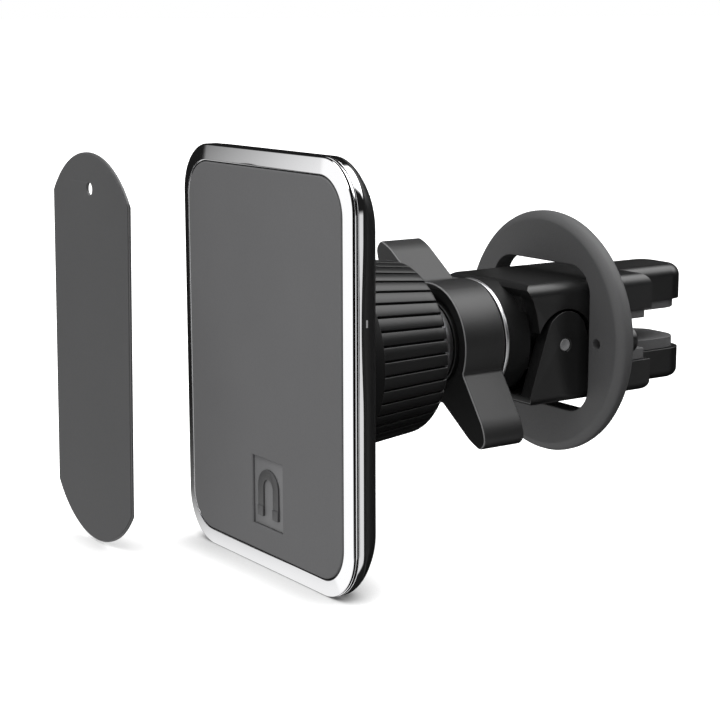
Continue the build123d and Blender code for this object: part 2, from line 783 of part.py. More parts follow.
with BuildPart() as support_ring:
    with Locations((ringX, 0, ringZ)):
        add(ringDisc.part)
    with BuildSketch(facing(ringFront)):
        with Locations((ringX, ringZ)):
            RectangleRounded(ringOpeningWidth, ringOpeningHeight, ringOpeningCorner)
    extrude(amount=-(ringBack - ringFront), mode=Mode.SUBTRACT)
    with BuildSketch(facing(ringBack)):
        with Locations((0, (lugTop + lugBottom) / 2)):
            SlotOverall(2 * (ringScrewX + lugReach + runFit), lugTop - lugBottom + 2 * runFit)
    extrude(amount=lugSeat, mode=Mode.SUBTRACT)
    with BuildSketch(facing(ringFront)):
        with Locations((-ringScrewX, ringScrewZ), (ringScrewX, ringScrewZ)):
            Circle(ringScrewRadius + runFit)
    extrude(amount=-(ringBack - ringFront), mode=Mode.SUBTRACT)
save(support_ring, "support_ring")

with BuildPart() as ring_screws:
    with BuildSketch(facing(ringFront + ringScrewSunk)):
        with Locations((-ringScrewX, ringScrewZ), (ringScrewX, ringScrewZ)):
            Circle(ringScrewRadius)
    extrude(amount=-(lugFront - ringFront - ringScrewSunk))
    with BuildSketch(facing(lugFront)):
        with Locations((-ringScrewX, ringScrewZ), (ringScrewX, ringScrewZ)):
            Circle(ringThreadRadius)
    extrude(amount=-ringThreadLength)
save(ring_screws, "ring_screws")

# phone plate


def plateOutline(inset):
    # straight sides closed by two shallow arcs
    half, top, shoulder = plateWidth / 2 - inset, plateHeight / 2 - inset, plateHeight / 2 - plateShoulder
    Line((-half, shoulder), (-half, -shoulder))
    ThreePointArc((-half, -shoulder), (0, -top), (half, -shoulder))
    Line((half, -shoulder), (half, shoulder))
    ThreePointArc((half, shoulder), (0, top), (-half, shoulder))


# the plate leans in its own plane, its foot a little away from the head
plateAcross = (cos(radians(plateLean)), 0, -sin(radians(plateLean)))
platePlane = Plane(origin=(plateX, at(plateStation), plateZ), x_dir=plateAcross, z_dir=(0, -1, 0))
plateHole = (0, plateHeight / 2 - plateHoleDrop)

with BuildPart() as phone_plate:
    with BuildSketch(platePlane):
        with BuildLine():
            plateOutline(0)
        make_face()
        with Locations(plateHole):
            Circle(plateHoleRadius, mode=Mode.SUBTRACT)
    extrude(amount=-plateThickness)
save(phone_plate, "phone_plate")

with BuildPart() as plate_adhesive:
    with BuildSketch(platePlane):
        with BuildLine():
            plateOutline(plateFilmInset)
        make_face()
        with Locations(plateHole):
            Circle(plateHoleRadius, mode=Mode.SUBTRACT)
    extrude(amount=plateFilm)
save(plate_adhesive, "plate_adhesive")
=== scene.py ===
import math

import bmesh
import bpy
from mathutils import Matrix, Vector


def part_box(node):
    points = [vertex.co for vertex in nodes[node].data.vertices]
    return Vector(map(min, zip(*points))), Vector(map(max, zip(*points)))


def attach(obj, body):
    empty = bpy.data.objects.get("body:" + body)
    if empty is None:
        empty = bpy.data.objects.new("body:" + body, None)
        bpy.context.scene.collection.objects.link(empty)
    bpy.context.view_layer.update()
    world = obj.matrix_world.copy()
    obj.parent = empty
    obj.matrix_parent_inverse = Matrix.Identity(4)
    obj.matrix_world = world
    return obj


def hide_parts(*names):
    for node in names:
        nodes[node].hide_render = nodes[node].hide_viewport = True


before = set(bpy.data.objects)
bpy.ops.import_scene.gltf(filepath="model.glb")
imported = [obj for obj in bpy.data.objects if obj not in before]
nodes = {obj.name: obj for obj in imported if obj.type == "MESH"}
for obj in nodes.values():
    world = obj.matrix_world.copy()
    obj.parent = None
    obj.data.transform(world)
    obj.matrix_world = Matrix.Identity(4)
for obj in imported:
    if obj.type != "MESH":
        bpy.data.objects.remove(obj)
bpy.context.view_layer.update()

mm = 0.001

padLow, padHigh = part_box("face_pad")
bezelLow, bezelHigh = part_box("chrome_bezel")
shellLow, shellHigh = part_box("rear_shell")
faceY = padLow.y          # front of the pad; the stations below count from here


def station(distance):
    # y of a place so many millimetres behind the pad's front
    return faceY + distance * mm


def newGroup(name, inputs, outputs):
    group = bpy.data.node_groups.new(name, "ShaderNodeTree")
    for title, kind, value in inputs:
        socket = group.interface.new_socket(title, in_out="INPUT", socket_type=kind)
        socket.default_value = value
    for title, kind in outputs:
        group.interface.new_socket(title, in_out="OUTPUT", socket_type=kind)
    return group, group.nodes.new("NodeGroupInput"), group.nodes.new("NodeGroupOutput")


def setInputs(tree, node, inputs):
    # each input is linked where it is given a socket, and set where it is given a value
    for title, value in inputs.items():
        if isinstance(value, bpy.types.NodeSocket):
            tree.links.new(value, node.inputs[title])
        else:
            node.inputs[title].default_value = value


def addNode(tree, kind, inputs=None, **settings):
    node = tree.nodes.new(kind)
    for key, value in settings.items():
        setattr(node, key, value)
    setInputs(tree, node, inputs or {})
    return node


def mathNode(tree, operation, *values):
    return addNode(tree, "ShaderNodeMath", dict(enumerate(values)), operation=operation).outputs[0]


def noiseNode(tree, vector, scale, detail=3.0, roughness=0.5):
    inputs = {"Vector": vector, "Scale": scale, "Detail": detail, "Roughness": roughness}
    return addNode(tree, "ShaderNodeTexNoise", inputs).outputs["Fac"]


def objectPlace(tree):
    return tree.nodes.new("ShaderNodeTexCoord").outputs["Object"]


def mouldGrainGroup():
    # spark-eroded tool texture: fine pits over a slower unevenness, as a normal and a mask
    group, entry, result = newGroup(
        "mouldGrain",
        [("Grain Size", "NodeSocketFloat", 0.25), ("Depth", "NodeSocketFloat", 0.2)],
        [("Normal", "NodeSocketVector"), ("Mask", "NodeSocketFloat")],
    )
    place = objectPlace(group)
    perMetre = mathNode(group, "DIVIDE", 1000.0, entry.outputs["Grain Size"])
    fine = noiseNode(group, place, perMetre, 2.0, 0.6)
    cells = addNode(group, "ShaderNodeTexVoronoi", {"Vector": place, "Scale": perMetre})
    mixed = mathNode(group, "MULTIPLY_ADD", cells.outputs["Distance"], 0.5, fine)
    bump = addNode(group, "ShaderNodeBump", {
        "Distance": 0.02 * mm, "Strength": entry.outputs["Depth"], "Height": mixed,
    })
    setInputs(group, result, {"Normal": bump.outputs["Normal"], "Mask": mixed})
    return group


def handlingGroup():
    # soft clouds of handling and a light rub on the raised edges; turned up, the edge rub is a painted highlight
    group, entry, result = newGroup(
        "handling",
        [
            ("Colour", "NodeSocketColor", (0.1, 0.1, 0.1, 1)),
            ("Rubbed And Highlight Colour", "NodeSocketColor", (0.2, 0.2, 0.2, 1)),
            ("Cloud Size", "NodeSocketFloat", 14.0),
            ("Edge Rub And Highlight", "NodeSocketFloat", 0.3),
            ("Cloud", "NodeSocketFloat", 0.1),
            ("Roughness", "NodeSocketFloat", 0.4),
        ],
        [("Colour", "NodeSocketColor"), ("Roughness", "NodeSocketFloat")],
    )
    place = objectPlace(group)
    perMetre = mathNode(group, "DIVIDE", 1000.0, entry.outputs["Cloud Size"])
    cloud = noiseNode(group, place, perMetre, 4.0, 0.55)
    speck = noiseNode(group, place, 2400.0, 2.0, 0.7)
    shape = group.nodes.new("ShaderNodeNewGeometry")
    edge = addNode(group, "ShaderNodeMapRange", {
        "Value": shape.outputs["Pointiness"], "From Min": 0.53, "From Max": 0.62,
    })
    edgeRubAndHighlight = mathNode(group, "MULTIPLY", edge.outputs["Result"], entry.outputs["Edge Rub And Highlight"])
    edgeRubAndHighlight = mathNode(group, "MULTIPLY", edgeRubAndHighlight, cloud)
    blend = addNode(group, "ShaderNodeMix", {
        "Factor": edgeRubAndHighlight, "A": entry.outputs["Colour"], "B": entry.outputs["Rubbed And Highlight Colour"],
    }, data_type="RGBA")
    # clouds brighten and darken by a few percent, specks by less
    centred = mathNode(group, "SUBTRACT", cloud, 0.5)
    swing = mathNode(group, "MULTIPLY", centred, entry.outputs["Cloud"])
    fleck = mathNode(group, "MULTIPLY_ADD", speck, 0.12, 0.94)
    gain = mathNode(group, "ADD", swing, fleck)
    tint = addNode(group, "ShaderNodeVectorMath", {
        "Vector": blend.outputs["Result"], "Scale": gain,
    }, operation="SCALE")
    rough = mathNode(group, "MULTIPLY_ADD", swing, 0.8, entry.outputs["Roughness"])
    setInputs(group, result, {"Colour": tint.outputs["Vector"], "Roughness": rough})
    return group


mouldGrain = mouldGrainGroup()
handling = handlingGroup()


def principled(name):
    material = bpy.data.materials.new(name)
    material.use_nodes = True
    return material, material.node_tree, material.node_tree.nodes["Principled BSDF"]


def grey(tone):
    # plastics here are a trace bluer than neutral
    return (tone, tone, tone * 1.02, 1)


def mouldedMaterial(name, tone, rubbedAndHighlightTone, roughness, grainSize, depth, cloud=0.12, edgeRubAndHighlight=0.35, specular=0.5):
    # any plastic, rubber or coating: handling feeds the colour, mould grain feeds the normal
    material, tree, shader = principled(name)
    touch = addNode(tree, "ShaderNodeGroup", node_tree=handling)
    setInputs(tree, touch, {
        "Colour": grey(tone), "Rubbed And Highlight Colour": grey(rubbedAndHighlightTone), "Roughness": roughness, "Cloud": cloud, "Edge Rub And Highlight": edgeRubAndHighlight,
    })
    grain = addNode(tree, "ShaderNodeGroup", node_tree=mouldGrain)
    setInputs(tree, grain, {"Grain Size": grainSize, "Depth": depth})
    setInputs(tree, shader, {
        "Base Color": touch.outputs["Colour"], "Roughness": touch.outputs["Roughness"],
        "Normal": grain.outputs["Normal"], "Specular IOR Level": specular,
    })
    return material


def metalMaterial(name, colour, roughness, scratch, streak=(1, 1, 1)):
    # bare or plated metal with drawn streaks and a slow change of polish
    material, tree, shader = principled(name)
    place = objectPlace(tree)
    stretch = addNode(tree, "ShaderNodeMapping", {"Vector": place, "Scale": streak})
    lines = noiseNode(tree, stretch.outputs["Vector"], 5200.0, 4.0, 0.6)
    cloud = noiseNode(tree, place, 90.0)
    darker = [channel * 0.94 for channel in colour]
    tone = addNode(tree, "ShaderNodeMix", {
        "Factor": cloud, "A": (*darker, 1), "B": (*colour, 1),
    }, data_type="RGBA")
    rough = mathNode(tree, "MULTIPLY_ADD", lines, scratch, roughness)
    rough = mathNode(tree, "MULTIPLY_ADD", cloud, scratch * 0.5, rough)
    bump = addNode(tree, "ShaderNodeBump", {"Strength": scratch, "Distance": 0.004 * mm, "Height": lines})
    setInputs(tree, shader, {
        "Base Color": tone.outputs["Result"], "Roughness": rough, "Normal": bump.outputs["Normal"],
        "Metallic": 1.0,
    })
    return material


# tone of the surface, tone on rubbed edges (on the wing nut a painted edge highlight), roughness, size and depth
# of its grain, other settings
finishes = {
    "padSkin": (0.108, 0.15, 0.75, 0.22, 0.5, {"specular": 0.25}),
    "badge": (0.125, 0.2, 0.5, 0.2, 0.3, {}),
    "badgeDark": (0.045, 0.15, 0.5, 0.2, 0.3, {}),
    "blackShell": (0.011, 0.04, 0.36, 0.18, 0.25, {}),
    "blackJaw": (0.008, 0.04, 0.34, 0.16, 0.22, {}),
    # near-black painted shade for the barrel inside the wing nut, the hub's front, the collar core and the bezel's
    # grooves
    "paintedShadeBlack": (0.004, 0.01, 0.6, 0.2, 0.3, {"specular": 0.2}),
    "collarBlack": (0.008, 0.05, 0.38, 0.2, 0.35, {"specular": 0.4}),
    # the wing nut's light edges are a painted highlight: a strong edge rub in a lighter grey
    "wingGrey": (0.011, 0.2, 0.42, 0.2, 0.3, {"edgeRubAndHighlight": 0.9}),
    # painted highlight for the sloping front chamfer of the wing nut
    "wingEdgeHighlight": (0.15, 0.2, 0.5, 0.2, 0.2, {}),
    "ringGrey": (0.062, 0.14, 0.6, 0.3, 1.0, {"cloud": 0.3}),
    "rubberPad": (0.085, 0.12, 0.72, 0.3, 0.5, {}),
    "nylonDark": (0.02, 0.05, 0.45, 0.3, 0.3, {}),
    "zincGrey": (0.2, 0.4, 0.4, 0.2, 0.2, {}),
    "plateCoat": (0.07, 0.2, 0.5, 0.14, 0.4, {}),
    "filmDark": (0.064, 0.1, 0.62, 0.12, 0.3, {"specular": 0.25}),
}
materials = {name: mouldedMaterial(name, *values, **others) for name, (*values, others) in finishes.items()}
materials["chrome"] = metalMaterial("chrome", (0.93, 0.93, 0.94), 0.03, 0.03)
materials["steel"] = metalMaterial("steel", (0.56, 0.56, 0.57), 0.24, 0.16, streak=(1, 0.08, 1))
materials["darkSteel"] = metalMaterial("darkSteel", (0.06, 0.06, 0.06), 0.35, 0.2)
materials["nickel"] = metalMaterial("nickel", (0.72, 0.72, 0.73), 0.3, 0.02)
print("materials built")


def objectFrom(name, bm):
    mesh = bpy.data.meshes.new(name)
    bm.to_mesh(mesh)
    bm.free()
    result = bpy.data.objects.new(name, mesh)
    bpy.context.scene.collection.objects.link(result)
    return result


def smoothTo(mesh, sharp):
    # smooth shading, broken at edges that turn by more than the angle
    mesh.polygons.foreach_set("use_smooth", [True] * len(mesh.polygons))
    mesh.set_sharp_from_angle(angle=math.radians(sharp))


def rideOn(piece, body, replaced):
    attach(piece, body)
    if replaced:
        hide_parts(*replaced)
    return piece


def plainResult(piece):
    # the piece's modifiers become its mesh
    bpy.context.view_layer.update()
    mesh = bpy.data.meshes.new_from_object(piece.evaluated_get(bpy.context.evaluated_depsgraph_get()))
    piece.modifiers.clear()
    old = piece.data
    piece.data = mesh
    bpy.data.meshes.remove(old)


def flatFaces(piece):
    # normals weighted by face area keep large faces flat beside their rounded edges
    modifier = piece.modifiers.new("flat", "WEIGHTED_NORMAL")
    modifier.keep_sharp = True
    modifier.weight = 100
    plainResult(piece)


def finishPiece(name, bm, material, body, replaced=(), sharp=32, flat=False, extra=()):
    # the bmesh becomes a smooth-shaded object at the origin that rides on its body
    bmesh.ops.recalc_face_normals(bm, faces=bm.faces)
    piece = objectFrom(name, bm)
    smoothTo(piece.data, sharp)
    for finish in (material, *extra):
        piece.data.materials.append(materials[finish])
    if flat:
        flatFaces(piece)
    return rideOn(piece, body, replaced)


def skin(bm, loops, closed=False, startCap=True, endCap=True):
    # quads between closed loops with the same number of points
    rows = [[bm.verts.new(point) for point in loop] for loop in loops]
    pairs = list(zip(rows, rows[1:])) + ([(rows[-1], rows[0])] if closed else [])
    for near, far in pairs:
        for index in range(len(near)):
            after = (index + 1) % len(near)
            bm.faces.new((near[index], near[after], far[after], far[index]))
    if not closed:
        if startCap:
            bm.faces.new(list(reversed(rows[0])))
        if endCap:
            bm.faces.new(rows[-1])
    return rows


def roundedRectangle(width, height, radius, perCorner=14):
    # points of a rounded rectangle in x and z, the same number whatever its size
    points = []
    for turn, (sideX, sideZ) in enumerate(((1, 1), (-1, 1), (-1, -1), (1, -1))):
        centreX, centreZ = sideX * (width / 2 - radius), sideZ * (height / 2 - radius)
        for step in range(perCorner + 1):
            angle = math.radians(90 * turn + 90 * step / perCorner)
            points.append((centreX + radius * math.cos(angle), centreZ + radius * math.sin(angle)))
    return points


def splitSides(points, extra=24):
    # more points along the long straight sides, for parts whose edge waves there
    result = []
    for index, (x, z) in enumerate(points):
        nextX, nextZ = points[(index + 1) % len(points)]
        result.append((x, z))
        if math.hypot(nextX - x, nextZ - z) > 20 * mm:
            for step in range(1, extra):
                part = step / extra
                result.append((x + (nextX - x) * part, z + (nextZ - z) * part))
    return result


def circle(x, z, radius, y, segments):
    # points round a place, in a plane across the mount
    turn = 2 * math.pi / segments
    return [Vector((x + radius * math.cos(turn * k), y, z + radius * math.sin(turn * k))) for k in range(segments)]


def lathe(bm, profile, segments=128, closed=True):
    # profile of (radius, y) points turned round the mount's axis
    skin(bm, [circle(0, 0, radius, y, segments) for radius, y in profile], closed=closed)


def softProfile(corners, steps=3):
    # rounds the corners of a (radius, y) profile; each corner is (radius, y, rounding)
    points = []
    for index, (radius, y, rounding) in enumerate(corners):
        here = Vector((radius, y))
        before = Vector(corners[index - 1][:2])
        after = Vector(corners[(index + 1) % len(corners)][:2])
        if rounding <= 0:
            points.append(tuple(here))
            continue
        back, ahead = (before - here), (after - here)
        reach = min(rounding, back.length * 0.45, ahead.length * 0.45)
        start, end = here + back.normalized() * reach, here + ahead.normalized() * reach
        for step in range(steps + 1):
            part = step / steps
            points.append(tuple((1 - part) ** 2 * start + 2 * part * (1 - part) * here + part ** 2 * end))
    return points


def prism(bm, outline, nearY, farY):
    # closed slab from an outline of (x, z) points
    near = [bm.verts.new((x, nearY, z)) for x, z in outline]
    far = [bm.verts.new((x, farY, z)) for x, z in outline]
    front = bm.faces.new(near)
    back = bm.faces.new(list(reversed(far)))
    for index in range(len(near)):
        after = (index + 1) % len(near)
        bm.faces.new((near[after], near[index], far[index], far[after]))
    return front, back


def bevelSharp(bm, width, angle=28, segments=3):
    # rounds every edge that turns by more than the angle
    bmesh.ops.recalc_face_normals(bm, faces=bm.faces)
    edges = [e for e in bm.edges if len(e.link_faces) == 2 and e.calc_face_angle(0) > math.radians(angle)]
    bmesh.ops.bevel(
        bm, geom=edges, offset=width, offset_type="OFFSET", segments=segments, profile=0.5,
        affect="EDGES", clamp_overlap=True,
    )


def mergedCopy(node):
    # the CAD node's surface with its loose triangles joined and its flat faces made whole
    bm = bmesh.new()
    bm.from_mesh(nodes[node].data)
    bmesh.ops.remove_doubles(bm, verts=bm.verts, dist=0.0005 * mm)
    bmesh.ops.dissolve_limit(bm, angle_limit=math.radians(0.6), verts=bm.verts, edges=bm.edges)
    return bm


def cutWith(piece, *cutters, sharp=32):
    # booleans the cutters out of a piece and keeps the plain result
    for cutter in cutters:
        modifier = piece.modifiers.new("cut", "BOOLEAN")
        modifier.operation = "DIFFERENCE"
        modifier.solver = "EXACT"
        modifier.object = cutter
    plainResult(piece)
    for cutter in cutters:
        bpy.data.objects.remove(cutter)
    piece.data.set_sharp_from_angle(angle=math.radians(sharp))
    flatFaces(piece)


def helperObject(name, bm):
    # a cutter or a source for repeats, removed once it is used
    bmesh.ops.recalc_face_normals(bm, faces=bm.faces)
    return objectFrom(name, bm)


padValues = {"edge": 0.3 * mm, "corner": 6.0 * mm, "badgeEdge": 0.15 * mm, "badgeGap": 0.1 * mm}


def makeFacePad():
    badgeLow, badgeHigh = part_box("pad_badge")
    width, height = padHigh.x - padLow.x, padHigh.z - padLow.z
    edge = padValues["edge"]
    loops = [(0, padHigh.y), (0, padLow.y + edge)]
    steps = 6
    for step in range(1, steps + 1):
        angle = math.radians(90 * step / steps)
        loops.append((edge * (1 - math.cos(angle)), padLow.y + edge * (1 - math.sin(angle))))
    bm = bmesh.new()
    skin(
        bm,
        [
            [Vector((x, y, z)) for x, z in
             roundedRectangle(width - 2 * inset, height - 2 * inset, padValues["corner"] - inset)]
            for inset, y in loops
        ],
        endCap=False,
    )
    # the recess for the badge: rim on the face, walls and floor
    gap = padValues["badgeGap"]
    left, right = badgeLow.x - gap, badgeHigh.x + gap
    low, high = badgeLow.z - gap, badgeHigh.z + gap
    rim = padValues["badgeEdge"]
    floorY = badgeHigh.y
    corners = ((left, low), (right, low), (right, high), (left, high))
    middleX, middleZ = (left + right) / 2, (low + high) / 2
    outer = [
        bm.verts.new((x + math.copysign(rim, x - middleX), padLow.y, z + math.copysign(rim, z - middleZ)))
        for x, z in corners
    ]
    inner = [bm.verts.new((x, padLow.y + rim, z)) for x, z in corners]
    floor = [bm.verts.new((x, floorY, z)) for x, z in corners]
    for near, far in ((outer, inner), (inner, floor)):
        for index in range(4):
            after = (index + 1) % 4
            bm.faces.new((near[index], near[after], far[after], far[index]))
    bm.faces.new(floor)
    boundary = [
        e for e in bm.edges
        if len(e.link_faces) == 1 and all(abs(v.co.y - padLow.y) < 1e-7 for v in e.verts)
    ]
    bmesh.ops.triangle_fill(bm, use_beauty=True, edges=boundary)
    return finishPiece("facePad", bm, "padSkin", "head", ["face_pad"], sharp=40)


badgeValues = {
    "plate": 0.2 * mm, "armOuter": 3.1 * mm, "armInner": 1.45 * mm, "rise": 0.9 * mm, "foot": 1.6 * mm,
    "capTall": 1.7 * mm, "capProud": 0.12 * mm, "edge": 0.07 * mm,
}


def makeBadge():
    # horseshoe magnet in relief on its own small plate
    low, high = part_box("pad_badge")
    centreX = (low.x + high.x) / 2
    values = badgeValues
    baseY, topY = high.y - values["plate"], low.y
    bm = bmesh.new()
    prism(bm, [(low.x, low.z), (high.x, low.z), (high.x, high.z), (low.x, high.z)], baseY, high.y)
    bendZ, footZ = (low.z + high.z) / 2 + values["rise"], low.z + values["foot"]
    steps = 20
    outline = []
    for side, arm in ((1, values["armOuter"]), (-1, values["armInner"])):
        outline.append((centreX + side * arm, footZ))
        for step in range(steps + 1):
            angle = math.pi * step / steps
            outline.append((centreX + side * arm * math.cos(angle), bendZ + arm * math.sin(angle)))
        outline.append((centreX - side * arm, footZ))
    prism(bm, outline, topY, baseY - 0.001 * mm)
    # pole caps: two bars set a little prouder across the feet
    for side in (-1, 1):
        near, far = centreX + side * values["armInner"], centreX + side * values["armOuter"]
        capZ = footZ + values["capTall"]
        prism(bm, [(near, footZ), (far, footZ), (far, capZ), (near, capZ)], topY - values["capProud"],
              topY + 0.01 * mm)
    bevelSharp(bm, values["edge"], angle=60, segments=2)
    for face in bm.faces:
        if face.calc_center_median().y < baseY - 0.01 * mm:
            face.material_index = 1
    return finishPiece("padBadge", bm, "badge", "head", ["pad_badge"], extra=["badgeDark"])


def screwPlaces(node):
    # centres in x and z of the separate screws of one node
    low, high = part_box(node)
    found = []
    for vertex in nodes[node].data.vertices:
        place = Vector((vertex.co.x, vertex.co.z))
        if not any((place - other).length < 5 * mm for other in found):
            found.append(place)
    centres = []
    for seed in found:
        near = [v.co for v in nodes[node].data.vertices if (Vector((v.co.x, v.co.z)) - seed).length < 5 * mm]
        centres.append((
            (min(c.x for c in near) + max(c.x for c in near)) / 2,
            (min(c.z for c in near) + max(c.z for c in near)) / 2,
        ))
    return centres


def disc(bm, x, z, radius, nearY, farY, segments=48, soft=0.0):
    # round slab at a place, with softened rims where asked
    rings = [(radius, nearY), (radius, farY)]
    if soft:
        rings = [(radius - soft, nearY), (radius, nearY + soft), (radius, farY - soft), (radius - soft, farY)]
    skin(bm, [circle(x, z, r, y, segments) for r, y in rings])


swell = {"top": 22.0 * mm, "bottom": -4.0 * mm, "height": 0.55 * mm}


def swellAt(x, z):
    # how far the shell's front edge swells forward at a place on the side walls
    if abs(x) < bezelHigh.x * 0.97 or not swell["bottom"] < z < swell["top"]:
        return 0.0
    part = (z - swell["bottom"]) / (swell["top"] - swell["bottom"])
    return swell["height"] * math.sin(math.pi * part) ** 1.5


bezelValues = {"corner": 8.2, "lip": 2.15, "tallLip": 2.75, "back": 3.0}


def makeBezel():
    # outward offset and station of each ring of the chromed frame's section; True starts a band of painted shade,
    # in its two grooves and the seam by the pad
    width, height = bezelHigh.x - bezelLow.x, bezelHigh.z - bezelLow.z
    corner, lip, back = (bezelValues[key] for key in ("corner", "lip", "back"))
    section = [
        (-lip, back, False), (-lip, 0.34, True), (-lip + 0.02, 0.24, False), (-lip + 0.08, 0.17, False),
        (-lip + 0.22, 0.13, False), (-0.3, 0.42, False), (-0.12, 0.48, False), (-0.02, 0.58, False),
        (0.0, 0.66, True), (-0.12, 0.7, True), (-0.28, 0.72, True), (-0.28, 0.98, True),
        (-0.1, 1.0, False), (0.0, 1.06, False), (0.0, 1.36, False), (-0.05, 1.42, True), (-0.2, 1.44, True),
        (-0.2, 1.56, True), (-0.06, 1.58, False), (0.0, 1.64, False), (0.0, 2.4, False), (-0.03, 2.66, False),
        (-0.1, 2.88, False), (-0.26, back, False),
    ]
    bm = bmesh.new()
    loops = []
    for offset, place, dark in section:
        # the lip reaches further in at the top and bottom than at the sides
        tall = offset - (bezelValues["tallLip"] - lip if offset < -1 else 0)
        outline = splitSides(roundedRectangle(
            width + 2 * offset * mm, height + 2 * tall * mm, (corner + offset) * mm, 20))
        weight = max(0.0, (place - 1.7) / (back - 1.7))
        if offset == -lip:
            weight = 0.0
        loops.append([Vector((x, station(place) - weight * swellAt(x, z), z)) for x, z in outline])
    skin(bm, loops, closed=True)
    # faces come in rings of the section's order, and the painted-shade bands take the second, near-black material
    bm.faces.ensure_lookup_table()
    around = len(loops[0])
    for ring, (offset, place, dark) in enumerate(section):
        if dark:
            for face in bm.faces[ring * around:(ring + 1) * around]:
                face.material_index = 1
    return finishPiece("bezel", bm, "chrome", "head", ["chrome_bezel"], sharp=50, flat=True,
                       extra=["paintedShadeBlack"])


shellValues = {"frontCorner": 8.2, "backCorner": 10.5, "rounding": 2.7, "wall": 1.3}


screwValues = {
    "head": 2.0 * mm, "bore": 2.15 * mm, "sunk": 0.22 * mm, "headEnd": 0.6 * mm, "edge": 0.08 * mm,
    "shank": 0.9 * mm, "end": 3.4 * mm, "slotLong": 1.0 * mm, "slotWide": 0.22 * mm, "slotDeep": 0.5 * mm,
}


def makeShell():
    width, height = shellHigh.x - shellLow.x, shellHigh.z - shellLow.z
    front, back = bezelValues["back"], (shellHigh.y - faceY) / mm
    rounding, wall = shellValues["rounding"], shellValues["wall"]
    section = [(0.35, front - 0.25), (0.1, front - 0.12), (0.0, front + 0.1)]
    steps = 10
    for step in range(steps + 1):
        angle = math.radians(90 * step / steps)
        section.append((rounding * (1 - math.cos(angle)), back - rounding * (1 - math.sin(angle))))
    frontCorner, backCorner = shellValues["frontCorner"], shellValues["backCorner"]

    def shellLoop(inset, place, corner, swelling=0.0):
        outline = splitSides(roundedRectangle(
            width - 2 * inset * mm, height - 2 * inset * mm, (corner - inset * 0.8) * mm, 20))
        return [Vector((x, station(place) - swelling * swellAt(x, z), z)) for x, z in outline]

    # inside: the wall's inner face, from the open front edge to the back
    inner = [(wall, front - 0.2), (wall, back - 2.6), (wall + 0.5, back - 1.9), (wall + 3.0, back - 1.5)]
    loops = [shellLoop(inset, place, frontCorner) for inset, place in reversed(inner)]
    for inset, place in section:
        grow = min(1.0, max(0.0, (place - front) / (back - front - 1.0)))
        swelling = max(0.0, 1 - max(0.0, place - front) / 1.6)
        loops.append(shellLoop(inset, place, frontCorner + (backCorner - frontCorner) * grow, swelling))
    # a shallow step inside the rear face, then the face itself
    step = ((rounding + 2.2, back), (rounding + 2.5, back - 0.18), (rounding + 3.2, back - 0.2))
    loops += [shellLoop(inset, place, backCorner) for inset, place in step]
    bm = bmesh.new()
    skin(bm, loops, closed=False)
    piece = finishPiece("rearShell", bm, "blackShell", "head", ["rear_shell"], sharp=40)
    # counterbores for the screws
    places = screwPlaces("shell_screws")
    cutters = []
    for number, (x, z) in enumerate(places):
        cutter = bmesh.new()
        disc(cutter, x, z, screwValues["bore"], station(back - 0.55), station(back + 0.3))
        cutters.append(helperObject(f"screwCut{number}", cutter))
    cutWith(piece, *cutters)
    return piece


def makeShellScrews():
    # countersunk heads with a cross recess, sunk a little under the shell's face
    shellBack, values = shellHigh.y, screwValues
    places = screwPlaces("shell_screws")
    bm = bmesh.new()
    for x, z in places:
        headEnd = shellBack - values["headEnd"]
        disc(bm, x, z, values["head"], headEnd, shellBack - values["sunk"], soft=values["edge"])
        disc(bm, x, z, values["shank"], shellBack - values["end"], headEnd + 0.01 * mm)
    piece = finishPiece("shellScrews", bm, "darkSteel", "head", ["shell_screws"])
    cutters = []
    arms = ((values["slotLong"], values["slotWide"]), (values["slotWide"], values["slotLong"]))
    for number, (x, z) in enumerate(places):
        for arm, (wide, tall) in enumerate(arms):
            bar = bmesh.new()
            corners = [(x - wide, z - tall), (x + wide, z - tall), (x + wide, z + tall), (x - wide, z + tall)]
            prism(bar, corners, shellBack - values["slotDeep"], shellBack)
            cutters.append(helperObject(f"cross{number}{arm}", bar))
    cutWith(piece, *cutters)
    return piece


windowValues = {"z": 9.6, "tall": 1.2, "wide": 0.3, "place": 3.15, "proud": 0.02, "deep": 0.6}


def makeSideWindow():
    # small bright insert in the swell of the shell
    values = windowValues
    half = values["wide"] / 2
    outline = []
    for side in (1, -1):
        for step in range(13):
            angle = math.pi * step / 12
            outline.append((
                station(values["place"]) + side * half * math.cos(angle) * mm,
                (values["z"] + side * (values["tall"] / 2 - half + half * math.sin(angle))) * mm,
            ))
    outer = shellHigh.x + values["proud"] * mm
    bm = bmesh.new()
    near = [bm.verts.new((outer, y, z)) for y, z in outline]
    far = [bm.verts.new((shellHigh.x - values["deep"] * mm, y, z)) for y, z in outline]
    bm.faces.new(near)
    bm.faces.new(list(reversed(far)))
    for index in range(len(near)):
        after = (index + 1) % len(near)
        bm.faces.new((near[after], near[index], far[index], far[after]))
    return finishPiece("sideWindow", bm, "nickel", "head")


def makeSocket():
    # flange, threaded barrel and the fingers round the ball
    bm = mergedCopy("ball_socket")
    bevelSharp(bm, 0.12 * mm, angle=35, segments=2)
    return finishPiece("ballSocket", bm, "blackShell", "head", ["ball_socket"], sharp=35)


print("head shapes ready")

collarLow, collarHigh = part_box("collar_grip")
collarValues = {
    "ringEnd": 13.0, "ringRadius": 16.15, "frontRadius": 15.9, "backRadius": 14.45,
    "mouth": 10.95, "ribCount": 42, "ribHeight": 0.42, "groove": 0.34,
}


